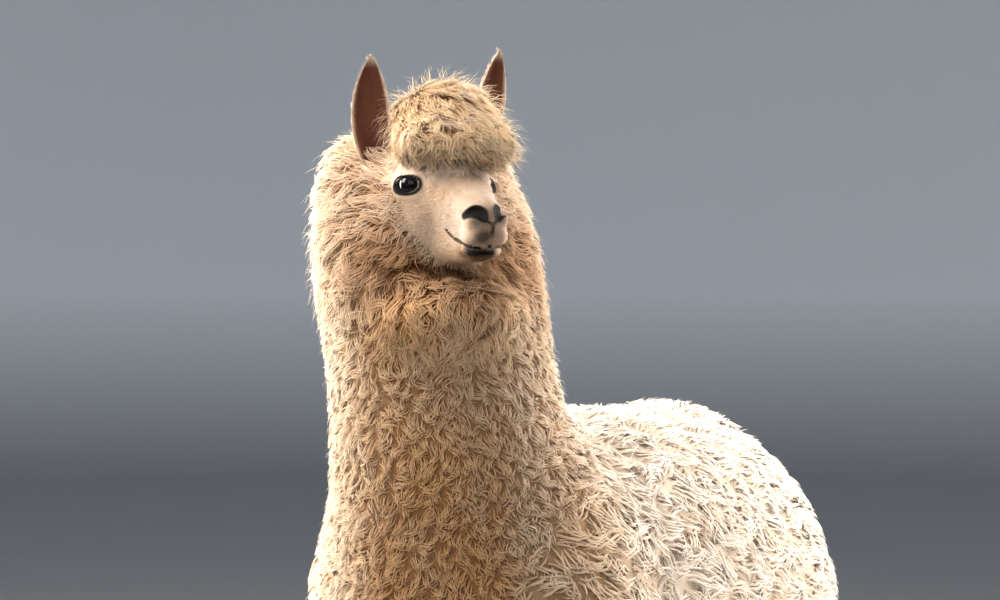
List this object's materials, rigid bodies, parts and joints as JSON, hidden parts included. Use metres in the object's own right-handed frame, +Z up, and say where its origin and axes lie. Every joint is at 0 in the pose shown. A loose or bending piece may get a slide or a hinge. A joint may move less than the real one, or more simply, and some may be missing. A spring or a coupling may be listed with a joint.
{
  "type": "alpaca",
  "caption": "Life-size standing alpaca in full fleece, head turned to its left over a thick woolly neck; a still display model that rests on its feet.",
  "frame": {"origin": "on the floor, under the middle of the whole animal's outline", "axes": "+Z up, the animal stands facing -Y with its own left side towards +X; its head is turned to its left"},
  "size_m": [0.5759, 1.1869, 1.4912],
  "materials": {
    "fleece": "dense matte fleece in soft crimped locks, cream at the tips over tan",
    "face_hair": "short fine hair lying flat, pale cream, grey-brown at nose and lips",
    "ear_skin": "short haired outside, dark pinkish brown inside",
    "eye": "wet, very dark brown, clear gloss",
    "nail": "dark horn, faintly ridged, half matt"
  },
  "bodies": {
    "root": {"trunk": "fleece", "neck": "fleece", "head": "face_hair", "ear_left": "ear_skin", "ear_right": "ear_skin", "eye_left": "eye", "eye_right": "eye", "tail": "fleece", "foreleg_left": "fleece", "forefoot_left": "face_hair", "nail_forefoot_left_outer": "nail", "nail_forefoot_left_inner": "nail", "foreleg_right": "fleece", "forefoot_right": "face_hair", "nail_forefoot_right_outer": "nail", "nail_forefoot_right_inner": "nail", "hindleg_left": "fleece", "hindfoot_left": "face_hair", "nail_hindfoot_left_outer": "nail", "nail_hindfoot_left_inner": "nail", "hindleg_right": "fleece", "hindfoot_right": "face_hair", "nail_hindfoot_right_outer": "nail", "nail_hindfoot_right_inner": "nail"}
  },
  "joints": []
}
